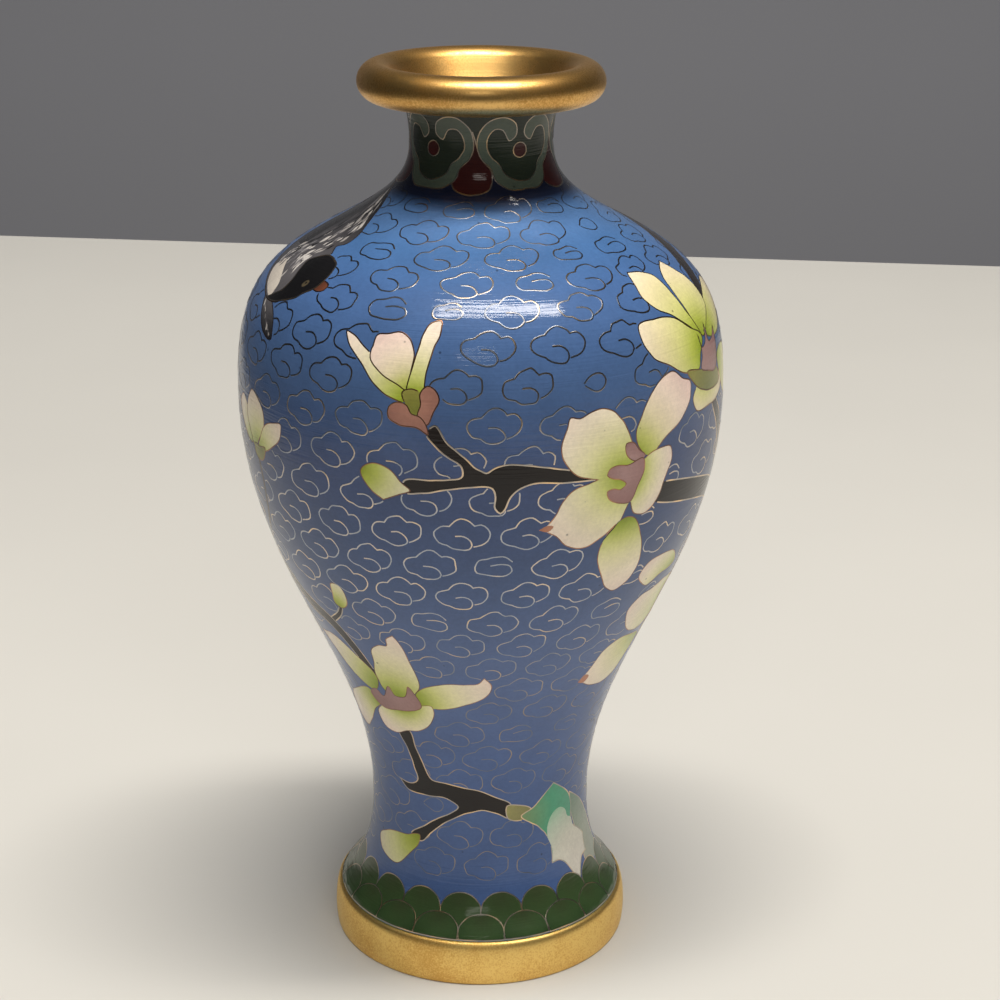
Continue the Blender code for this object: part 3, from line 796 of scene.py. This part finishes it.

# Enamel. Ground glass is packed wet into every cell, fired until it melts, topped up and fired again, and
# then stoned flat and polished, so that the picture lies in one smooth skin with the blue ground. Inside
# and underneath is plain turquoise counter enamel, which keeps the thin copper from warping.
# A glaze's colours run from its cell's root at 0 to its far end at 1, and the ground's from foot to neck. The
# ground's stops are painted light and shade: lighter on the shoulder under the overhead light, darker about
# the belly, and near-black navy just under the collar, a painted shadow of the rim.
GLAZES = {
    "ground": ((0, "#496394"), (0.2, "#4f6696"), (0.36, "#566a95"), (0.48, "#475a81"), (0.6, "#405077"),
               (0.68, "#48628c"), (0.78, "#486a9e"), (0.84, "#4871a6"), (0.875, "#5881b8"),
               (0.897, "#557db2"), (0.909, "#1c2a4a"), (0.915, "#10162b"), (1, "#0d111c")),
    "petal": ((0, "#879a24"), (0.12, "#a6b342"), (0.28, "#d1d381"), (0.48, "#e9e2b1"), (0.75, "#f4e6cd"),
              (1, "#f3dece")),
    "rosy petal": ((0, "#a0ac38"), (0.16, "#c8c972"), (0.36, "#eaddb4"), (0.65, "#f3dfcb"), (1, "#f0d2c8")),
    "lime petal": ((0, "#8fa224"), (0.2, "#b9c352"), (0.45, "#dcd98e"), (0.75, "#ecdfb0"), (1, "#efdfc4")),
    "stamen": ((0, "#a98783"), (1, "#97706d")),
    "bark": ((0, "#120c0b"), (1, "#1a1210")),
    "twig": ((0, "#4a3c3a"), (1, "#2c2220")),
    "bud": ((0, "#8e9b1c"), (0.3, "#b9c254"), (0.6, "#dedc9c"), (1, "#efe6c6")),
    "calyx": ((0, "#6f7330"), (1, "#949049")),
    "husk": ((0, "#ab7b6a"), (1, "#94695c")),
    "olive": ((0, "#a09a62"), (1, "#8b8858")),
    "rust": ((0, "#b98468"), (1, "#b9785a")),
    "sea green": ((0, "#7f9a6c"), (0.3, "#4fa07c"), (0.55, "#5aa586"), (0.8, "#86a894"), (1, "#a9b3a4")),
    "white cup": ((0, "#e2dacd"), (0.5, "#d9d6c6"), (0.8, "#bfcdb8"), (1, "#9cc3a4")),
    "eye": ((0, "#4a4232"), (1, "#5a4f3b")),
    "pale lick": ((0, "#a8a3a0"), (1, "#b7b2ae")),
    "dark lick": ((0, "#4c494c"), (1, "#5a575a")),
    "grey green": ((0, "#a9ab9b"), (1, "#74917f")),
    "black": ((0, "#0d0c0d"), (1, "#131214")),
    "feather": ((0, "#625f62"), (0.35, "#4b494c"), (0.6, "#302f32"), (1, "#1d1c1f")),
    "white lick": ((0, "#cdc8c3"), (1, "#ded9d4")),
    "grey lick": ((0, "#777477"), (1, "#878486")),
    "cream": ((0, "#d8cfc2"), (1, "#cdc3b8")),
    "beak": ((0, "#3c2219"), (1, "#70402c")),
    "bottle green": ((0, "#262d22"), (1, "#1c241b")),
    "celadon": ((0, "#454f43"), (1, "#535c50")),
    "oxblood": ((0, "#2f1412"), (1, "#38100f")),
    "scale green": ((0, "#3f4a2e"), (0.5, "#3d5430"), (1, "#2f4626")),
}
COUNTER_ENAMEL = "#3f9aa0"
# The skin is a sheet of triangles on a grid of columns and rows, which keeps clear of the cells' edges.
COLUMN_COUNT = 192
ROW_PITCH = 0.9
CLEAR_OF_WIRES = 0.25
MEAN_RADIUS = 20.0
TO_SHEET = math.radians(1) * MEAN_RADIUS
WELD = 1e-4
SHARP_EDGE = math.radians(40)
# The lining takes one in so many of the shell's points, and its floor and skirt have sizes of their own.
LINING_STEP = 12
AXIS_GAP = 0.02
FLOOR = 3.0
FLOOR_UNDERSIDE = 2.2
SKIRT_INSIDE = 14.6
SKIRT_OUTSIDE = 15.4
SKIRT_BOTTOM = 0.3


def glaze_colours(name, fade):
    """The glaze's colour at each fade, from 0 at the cell's root to 1 at its far end."""
    stops = [s for s, _ in GLAZES[name]]
    colours = np.array([hex_colour(code) for _, code in GLAZES[name]])
    return np.stack([np.interp(fade, stops, channel) for channel in colours.T], axis=1)


def fade_in(one, places):
    """How far each place is from the cell's root, as a share of the cell's own reach."""
    def away(spots):
        """Millimetres from the root to each spot."""
        x = np.radians(spots[:, 0] - one["root"][0]) * radius_at(spots[:, 1])
        return np.hypot(x, spots[:, 1] - one["root"][1])

    rim = away(one["outline"])
    near = 0.0 if inside(one["root"][None], one["outline"])[0] else rim.min()
    return np.clip((away(places) - near) / max(rim.max() - near, 1e-6), 0, 1)


def turns_clockwise(ring):
    """True if a closed outline runs clockwise."""
    x, y = ring.T
    return (x * np.roll(y, -1) - np.roll(x, -1) * y).sum() < 0


def enamel_sheet():
    """The outer skin as one flat sheet of triangles over (azimuth, mm along), cut along every cell."""
    azimuths = np.linspace(-180, 180, COLUMN_COUNT + 1)
    row_count = round(FULL_LENGTH / ROW_PITCH)
    rows = np.linspace(0, FULL_LENGTH, row_count + 1)
    places, edges, faces = [], [], []
    border = [(a, 0.0) for a in azimuths] + [(180.0, r) for r in rows[1:]]
    border += [(a, FULL_LENGTH) for a in azimuths[::-1][1:]] + [(-180.0, r) for r in rows[::-1][1:-1]]
    places += border
    edges += [(i, (i + 1) % len(border)) for i in range(len(border))]
    owners = []
    for number, one in enumerate(cells):
        for shift in (-360, 0, 360):
            ring = one["outline"] + (shift, 0)
            if ring[:, 0].max() < -180 or ring[:, 0].min() > 180:
                continue
            if turns_clockwise(ring):
                ring = ring[::-1]
            start = len(places)
            places += [tuple(p) for p in ring]
            faces.append(list(range(start, start + len(ring))))
            owners.append(number)
    tree = KDTree(len(places))
    for i, (a, r) in enumerate(places):
        tree.insert((a * TO_SHEET, r, 0), i)
    tree.balance()
    for row in rows[1:-1]:
        for a in azimuths[1:-1]:
            if tree.find((a * TO_SHEET, row, 0))[2] > CLEAR_OF_WIRES:
                places.append((a, row))
    sheet = [Vector((a * TO_SHEET, r)) for a, r in places]
    made = delaunay_2d_cdt(sheet, edges, faces, 0, WELD, True)
    corners = np.array([(v.x / TO_SHEET, v.y) for v in made[0]])
    triangles = np.array(made[2])
    owner = np.array([max((owners[i] for i in ids), default=-1) for ids in made[5]])
    centre = corners[triangles].mean(axis=1)
    kept = (abs(centre[:, 0]) < 180) & (centre[:, 1] > 0) & (centre[:, 1] < FULL_LENGTH)
    return corners, triangles[kept], owner[kept]


def ring_points(profile):
    """Points in metres of a turned profile, ring after ring."""
    turn = np.radians(np.linspace(-180, 180, COLUMN_COUNT + 1)[:-1])
    profile = np.asarray(profile, float)
    r, z = profile[:, 0][:, None], profile[:, 1][:, None]
    grid = np.stack([r * np.sin(turn), -r * np.cos(turn), z + 0 * turn], axis=2)
    return grid.reshape(-1, 3) * MM


def ring_faces(ring_count, closed=False):
    """Quads between neighbouring rings."""
    faces = []
    for i in range(ring_count if closed else ring_count - 1):
        here, there = i * COLUMN_COUNT, (i + 1) % ring_count * COLUMN_COUNT
        for j in range(COLUMN_COUNT):
            k = (j + 1) % COLUMN_COUNT
            faces.append((here + j, here + k, there + k, there + j))
    return faces


def lining_profile():
    """From the neck's top down the inside to the floor, and from under the floor out to the foot edge."""
    picked = shell[::LINING_STEP]
    way = np.gradient(picked, axis=0)
    way /= np.linalg.norm(way, axis=1)[:, None]
    inner = picked + np.stack([-way[:, 1], way[:, 0]], axis=1) * WALL
    inner = inner[(inner[:, 1] > 4.2) & (inner[:, 1] < NECK_TOP[1] - 0.3)]
    top = np.array([NECK_TOP, (NECK_TOP[0] - WALL, NECK_TOP[1])])
    edge = inner[0, 0]
    floor = np.array([(edge - 0.1, 3.6), (edge - 0.7, 3.1), (edge - 2, FLOOR), (AXIS_GAP, FLOOR)])
    inside_of = np.concatenate([top, inner[::-1], floor])
    under = np.array([
        (AXIS_GAP, FLOOR_UNDERSIDE), (13.4, FLOOR_UNDERSIDE), (14.3, 2.0), (SKIRT_INSIDE, 1.4),
        (SKIRT_INSIDE, 0.35), (14.7, SKIRT_BOTTOM), (15.3, SKIRT_BOTTOM), (SKIRT_OUTSIDE, 0.35),
        (SKIRT_OUTSIDE, FOOT_EDGE[1]), FOOT_EDGE])
    return inside_of, under


GRAIN_SIZE = 1 / 2.6
CLOUDY_SIZE = 3.846
PIT_SPACING = 1.786
LINE_SPACING = 1 / 5.2
LINE_LENGTH = 14.29


def vitreous_enamel():
    """Fused glass, stoned and polished: deep gloss with faint wheel lines, pin-holes and uneven grains. The
    grains and the wheel lines are really finer than 0.05 mm, and are drawn as coarse as they need to show."""
    material, tree, place = new_material("vitreous_enamel_polished")
    glaze = add_node(tree, "VertexColor", layer_name="glaze")
    grain = add_node(tree, "TexNoise", {"Vector": place, "Scale": scale_for(GRAIN_SIZE), "Detail": 3.0,
                                        "Roughness": 0.65}).outputs["Fac"]
    clouding = add_node(tree, "TexNoise", {"Vector": place, "Scale": scale_for(CLOUDY_SIZE), "Detail": 2.0})
    cloudy = clouding.outputs["Fac"]
    speckle = add_node(tree, "MapRange", {"Value": grain, **limits(0.3, 0.7, 0.93, 1.07)}).outputs["Result"]
    drift = add_node(tree, "MapRange", {"Value": cloudy, **limits(0.3, 0.7, 0.94, 1.06)}).outputs["Result"]
    both = add_node(tree, "Math", {0: speckle, 1: drift}, operation="MULTIPLY").outputs["Value"]
    pits = add_node(tree, "TexVoronoi", {"Vector": place, "Scale": scale_for(PIT_SPACING), "Randomness": 1.0})
    near = add_node(tree, "MapRange", {"Value": pits.outputs["Distance"], **limits(0.04, 0.10, 1.0, 0.0)})
    rare = add_node(tree, "SeparateColor", {"Color": pits.outputs["Color"]}).outputs["Red"]
    few = add_node(tree, "Math", {0: rare, 1: 0.86}, operation="GREATER_THAN").outputs["Value"]
    holes = add_node(tree, "Math", {0: near.outputs["Result"], 1: few}, operation="MULTIPLY").outputs["Value"]
    pit = add_node(tree, "Math", {0: holes, 1: -0.6, 2: 1.0}, operation="MULTIPLY_ADD").outputs["Value"]
    shade = add_node(tree, "Math", {0: both, 1: pit}, operation="MULTIPLY").outputs["Value"]
    tinted = add_node(tree, "VectorMath", {0: glaze.outputs["Color"], "Scale": shade}, operation="SCALE")
    stretch = (scale_for(LINE_LENGTH), scale_for(LINE_LENGTH), scale_for(LINE_SPACING))
    wheel = add_node(tree, "Mapping", {"Vector": place, "Scale": stretch}).outputs["Vector"]
    lines = add_node(tree, "TexNoise", {"Vector": wheel, "Scale": 1.0, "Detail": 2.0}).outputs["Fac"]
    relief = add_node(tree, "Math", {0: lines, 1: pit}, operation="MULTIPLY").outputs["Value"]
    bump = add_node(tree, "Bump", {"Height": relief, "Strength": 1.0, "Distance": 0.03 * MM})
    gloss = add_node(tree, "MapRange", {"Value": cloudy, **limits(0, 1, 0.42, 0.54)})
    shader = add_node(tree, "BsdfPrincipled", {
        "Base Color": tinted.outputs["Vector"], "Roughness": gloss.outputs["Result"], "IOR": 1.52,
        "Specular IOR Level": 0.12, "Coat Weight": 0.72, "Coat IOR": 1.4, "Coat Roughness": 0.05,
        "Normal": bump.outputs["Normal"], "Coat Normal": bump.outputs["Normal"]})
    add_node(tree, "OutputMaterial", {"Surface": shader.outputs["BSDF"]})
    return material


def enamelled_vessel():
    """The outer skin with its cells, and the lining, as one mesh with a colour at every corner."""
    places, triangles, owner = enamel_sheet()
    inside_of, under = lining_profile()
    points = [on_shell(places, -CROWN), ring_points(inside_of), ring_points(under)]
    base = np.cumsum([0] + [len(p) for p in points])
    faces = [tuple(t) for t in triangles]
    faces += [tuple(base[1] + i for i in f) for f in ring_faces(len(inside_of))]
    faces += [tuple(base[2] + i for i in f) for f in ring_faces(len(under))]
    points = np.concatenate(points)
    same, index = np.unique(np.round(points / (WELD * MM)).astype(np.int64), axis=0, return_inverse=True)
    index = index.reshape(-1)
    merged = np.zeros((len(same), 3))
    merged[index] = points
    faces = [tuple(int(index[i]) for i in f) for f in faces]
    mesh = bpy.data.meshes.new("enamelled_vessel")
    mesh.from_pydata(merged.tolist(), [], faces)

    corner_count = len(mesh.loops)
    colours = np.ones((corner_count, 4))
    colours[:, :3] = hex_colour(COUNTER_ENAMEL)
    flat = triangles.reshape(-1)
    # The ground's colour by height is painted light and shade, with a painted shadow of the rim under the
    # collar.
    outer = glaze_colours("ground", places[flat, 1] / FULL_LENGTH)
    owner_of_corner = np.repeat(owner, 3)
    for number, one in enumerate(cells):
        mine = np.flatnonzero(owner_of_corner == number)
        if len(mine):
            spots = places[flat[mine]]
            middle = one["outline"][:, 0].mean()
            spots = np.stack([(spots[:, 0] - middle + 180) % 360 - 180 + middle, spots[:, 1]], axis=1)
            outer[mine] = glaze_colours(one["glaze"], fade_in(one, spots))
    colours[:len(flat), :3] = outer
    layer = mesh.color_attributes.new(name="glaze", type="FLOAT_COLOR", domain="CORNER")
    layer.data.foreach_set("color", colours.ravel())

    mesh.shade_smooth()
    mesh.set_sharp_from_angle(angle=SHARP_EDGE)
    normals = np.zeros((corner_count, 3))
    normals[:len(flat)] = normals_on_shell(places)[flat]
    mesh.normals_split_custom_set(normals.tolist())
    return mesh


vessel = bpy.data.objects.new("enamelled_vessel", enamelled_vessel())
bpy.context.scene.collection.objects.link(vessel)
vessel.data.materials.append(vitreous_enamel())
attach(vessel, "root")
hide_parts("enamelled_body")

# Mouth rim. Turned brass, gilded: a round bead with a dished mouth, whose collar is pushed into the neck
# and soldered. Its gilding is satin, with faint turning lines and brown tarnish where it is handled least.
RIM_RADIUS = 13.0
BEAD_RADIUS = 1.995
BEAD_LIFT = 2.0
RIM_UNDERSIDE = 96.0
SOLDER_BOTTOM = 95.7
THROAT_RADIUS = 4.9
COLLAR_RADIUS = 5.7
COLLAR_BOTTOM = 93.0
DISH_SLOPE = math.radians(57)
LIP_TURN = math.pi / 2 + DISH_SLOPE
DISH_WALL = 2.5
DISH_FLOOR = 95.9
BEAD_STEPS = 40
DISH_STEPS = 12
TARNISH_SIZE = 7.692
FLECK_SIZE = 1 / 5.2
RING_SPACING = 1 / 4.2
RING_LENGTH = 20


def turned_piece(name, profile, material, node):
    """A closed turned profile, which stands for a CAD node."""
    faces = ring_faces(len(profile), closed=True)
    piece = mesh_object(name, ring_points(profile).tolist(), faces, material)
    piece.data.shade_smooth()
    piece.data.set_sharp_from_angle(angle=SHARP_EDGE)
    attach(piece, "root")
    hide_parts(node)


def gilt_brass(name, tarnished, clean, dullest, brightest):
    """Thin gilding on turned brass: satin yellow gold with fine rings and patches where it has tarnished
    brown. The flecks and rings are really finer than 0.05 mm, and are drawn as coarse as they need to show."""
    material, tree, place = new_material(name)
    patches = add_node(tree, "TexNoise", {"Vector": place, "Scale": scale_for(TARNISH_SIZE), "Detail": 4.0,
                                          "Roughness": 0.6}).outputs["Fac"]
    flecks = add_node(tree, "TexNoise", {"Vector": place, "Scale": scale_for(FLECK_SIZE), "Detail": 2.0})
    stretch = (scale_for(RING_LENGTH), scale_for(RING_LENGTH), scale_for(RING_SPACING))
    ring_map = add_node(tree, "Mapping", {"Vector": place, "Scale": stretch}).outputs["Vector"]
    rings = add_node(tree, "TexNoise", {"Vector": ring_map, "Scale": 1.0, "Detail": 3.0}).outputs["Fac"]
    tarnish_and_painted_shade = add_node(tree, "Math", {0: patches, 1: flecks.outputs["Fac"]}, operation="ADD").outputs["Value"]
    tone = add_node(tree, "MapRange", {"Value": tarnish_and_painted_shade, "From Min": 0.8, "From Max": 1.2}).outputs["Result"]
    gold = add_node(tree, "ValToRGB", {"Fac": tone})
    set_stops(gold, (0.0, tarnished), (0.75, clean))
    dull = add_node(tree, "MapRange", {"Value": tone, **limits(0, 1, dullest, brightest)})
    bump = add_node(tree, "Bump", {"Height": rings, "Strength": 0.5, "Distance": 0.01 * MM})
    shader = add_node(tree, "BsdfPrincipled", {
        "Base Color": gold.outputs["Color"], "Metallic": 1.0, "Roughness": dull.outputs["Result"],
        "Normal": bump.outputs["Normal"]})
    add_node(tree, "OutputMaterial", {"Surface": shader.outputs["BSDF"]})
    return material


def rim_profile():
    """From the throat up the dish, over the bead, in under it and down the collar, as a closed outline."""
    centre = np.array((RIM_RADIUS - BEAD_RADIUS, RIM_UNDERSIDE + BEAD_LIFT))
    lip_end = centre + BEAD_RADIUS * np.array((math.cos(LIP_TURN), math.sin(LIP_TURN)))
    uphill = np.array((math.sin(LIP_TURN), -math.cos(LIP_TURN)))
    wall_foot = lip_end - DISH_WALL * uphill
    dish_foot = np.array((THROAT_RADIUS, DISH_FLOOR))
    bowl = bezier(dish_foot, (1.6, 0.0), uphill, wall_foot, DISH_STEPS)
    dish = [*bowl, (wall_foot + lip_end) / 2, lip_end]
    angles = np.linspace(LIP_TURN, -math.pi / 2, BEAD_STEPS + 1)[1:]
    bead = centre + BEAD_RADIUS * np.stack([np.cos(angles), np.sin(angles)], axis=1)
    solder = [(9.4, RIM_UNDERSIDE), (8.5, 95.92), (8.15, SOLDER_BOTTOM), (7.6, SOLDER_BOTTOM),
              (COLLAR_RADIUS, SOLDER_BOTTOM)]
    collar = [(COLLAR_RADIUS, COLLAR_BOTTOM), (THROAT_RADIUS, COLLAR_BOTTOM)]
    return np.concatenate([[dish_foot], dish, bead, solder, collar])


satin = gilt_brass("gilt_brass_satin", "#cd9c56", "#eabd74", 0.45, 0.33)
turned_piece("gilt_mouth_rim", rim_profile(), satin, "mouth_rim")

# Foot ring. A turned and gilt brass band round the copper skirt, soldered under the enamel's edge. It is
# fullest near the table, draws in a little to its top, and its edges are worn round. Its gilding is duller
# than the rim's.
FOOT_INSIDE = 15.7
FOOT_TOP = 5.14
ring_outline = [(FOOT_INSIDE, 0.1), (FOOT_INSIDE + 0.1, 0.0), (16.55, 0.0), (16.72, 0.06), (16.82, 0.3),
                (16.92, 1.2), (16.95, 2.0), (16.92, 2.9), (16.84, 3.7), (16.74, 4.3), (16.62, 4.72),
                (16.44, 4.98), (16.2, 5.1), (15.95, FOOT_TOP), (FOOT_INSIDE, FOOT_TOP)]
matt = gilt_brass("gilt_brass_matt", "#eabb68", "#fcd884", 0.52, 0.42)
turned_piece("gilt_foot_ring", ring_outline, matt, "foot_ring")

# Table and studio: a pale cloth-covered table with a grey wall well behind it, in a dim room. One long soft
# light hangs overhead and a small one stands in front. Two broad fills, overhead and in front, lift the
# shadows and aren't seen in the glaze or the gold. Places and sizes are in metres.
TABLE_TURN = math.radians(-6.4)
TABLE_BACK = 0.337
TABLE_FRONT = -0.30
TABLE_LEFT = -0.21
TABLE_RIGHT = 0.60
WALL_PLACE = 1.6
WALL_SIDES = (-3, 3)
WALL_HEIGHTS = (-2, 3)
CLOTH_UNEVENNESS = 111
PAINT_UNEVENNESS = 500
LIT_SPOT = (0.0, 0.0, 0.07)
WARM = (1.0, 0.95, 0.88)
WHITE = (1.0, 1.0, 1.0)
ROOM_GLOW = 0.115


def plain_matt(name, code, patch):
    """Matt cloth or paint, with a slight unevenness of tone in patches of so many millimetres."""
    material, tree, place = new_material(name)
    uneven = add_node(tree, "TexNoise", {"Vector": place, "Scale": scale_for(patch), "Detail": 3.0})
    shade = add_node(tree, "MapRange", {"Value": uneven.outputs["Fac"], **limits(0, 1, 0.93, 1.05)})
    colour = add_node(tree, "VectorMath", {0: hex_colour(code), "Scale": shade.outputs["Result"]},
                      operation="SCALE")
    shader = add_node(tree, "BsdfPrincipled", {"Base Color": colour.outputs["Vector"], "Roughness": 0.85})
    add_node(tree, "OutputMaterial", {"Surface": shader.outputs["BSDF"]})
    return material


def stage_sheet(name, corners, material):
    """A flat sheet of the stage, which is no piece of the object."""
    sheet = mesh_object(name, corners, [(0, 1, 2, 3)], material)
    return sheet


table = stage_sheet("table", [(TABLE_LEFT, TABLE_FRONT, 0), (TABLE_RIGHT, TABLE_FRONT, 0),
                              (TABLE_RIGHT, TABLE_BACK, 0), (TABLE_LEFT, TABLE_BACK, 0)],
                    plain_matt("pale_cloth", "#d8d6d0", CLOTH_UNEVENNESS))
table.rotation_euler = (0, 0, TABLE_TURN)
(left, right), (bottom, top) = WALL_SIDES, WALL_HEIGHTS
stage_sheet("wall", [(left, WALL_PLACE, bottom), (right, WALL_PLACE, bottom), (right, WALL_PLACE, top),
                     (left, WALL_PLACE, top)], plain_matt("grey_wall", "#dbdbe1", PAINT_UNEVENNESS))


def studio_light(name, place, size, power, turn=None, mirrored=True):
    """A soft rectangular light that faces the vase, or lies level if it has a turn. One that isn't mirrored
    gives no highlight of its own."""
    light = bpy.data.lights.new(name, "AREA")
    light.shape = "RECTANGLE"
    light.size, light.size_y = size
    light.energy = power
    light.color = WARM if mirrored else WHITE
    holder = bpy.data.objects.new(name, light)
    holder.location = place
    facing = (Vector(place) - Vector(LIT_SPOT)).to_track_quat("Z", "Y")
    holder.rotation_euler = facing.to_euler() if turn is None else (0, 0, turn)
    holder.visible_glossy = mirrored
    bpy.context.scene.collection.objects.link(holder)


studio_light("overhead_strip", (0.105, -0.145, 1.0), (0.70, 0.15), 10.2, turn=math.radians(5.7))
studio_light("wide_soft_light", (0.0, 0.12, 1.25), (1.9, 1.1), 3.9, mirrored=False)
studio_light("front_fill", (0.3, -1.2, 0.5), (0.7, 0.7), 3.5, mirrored=False)
studio_light("small_front_light", (-0.04, -1.42, 1.0), (0.5, 0.06), 1.3)
world = bpy.data.worlds.new("dim_room")
world.use_nodes = True
world.node_tree.nodes["Background"].inputs["Color"].default_value = (*hex_colour("#8f9296"), 1)
world.node_tree.nodes["Background"].inputs["Strength"].default_value = ROOM_GLOW
bpy.context.scene.world = world
bpy.context.scene.view_settings.view_transform = "Standard"

# Camera, a little above the rim and looking down at the vase: its place in metres, its tilt below level and
# its slight lean in radians, and its focal length and film width in millimetres.
CAMERA_PLACE = (0.00215, -0.230, 0.134)
CAMERA_TILT = 0.344
CAMERA_LEAN = 0.005
FOCAL_LENGTH = 79.2
FILM_WIDTH = 36
lens = bpy.data.cameras.new("camera")
lens.lens = FOCAL_LENGTH
lens.sensor_width = FILM_WIDTH
camera = bpy.data.objects.new("camera", lens)
camera.location = CAMERA_PLACE
aim = Matrix.Rotation(math.pi / 2 - CAMERA_TILT, 4, "X") @ Matrix.Rotation(CAMERA_LEAN, 4, "Z")
camera.rotation_euler = aim.to_euler()
bpy.context.scene.collection.objects.link(camera)
bpy.context.scene.camera = camera
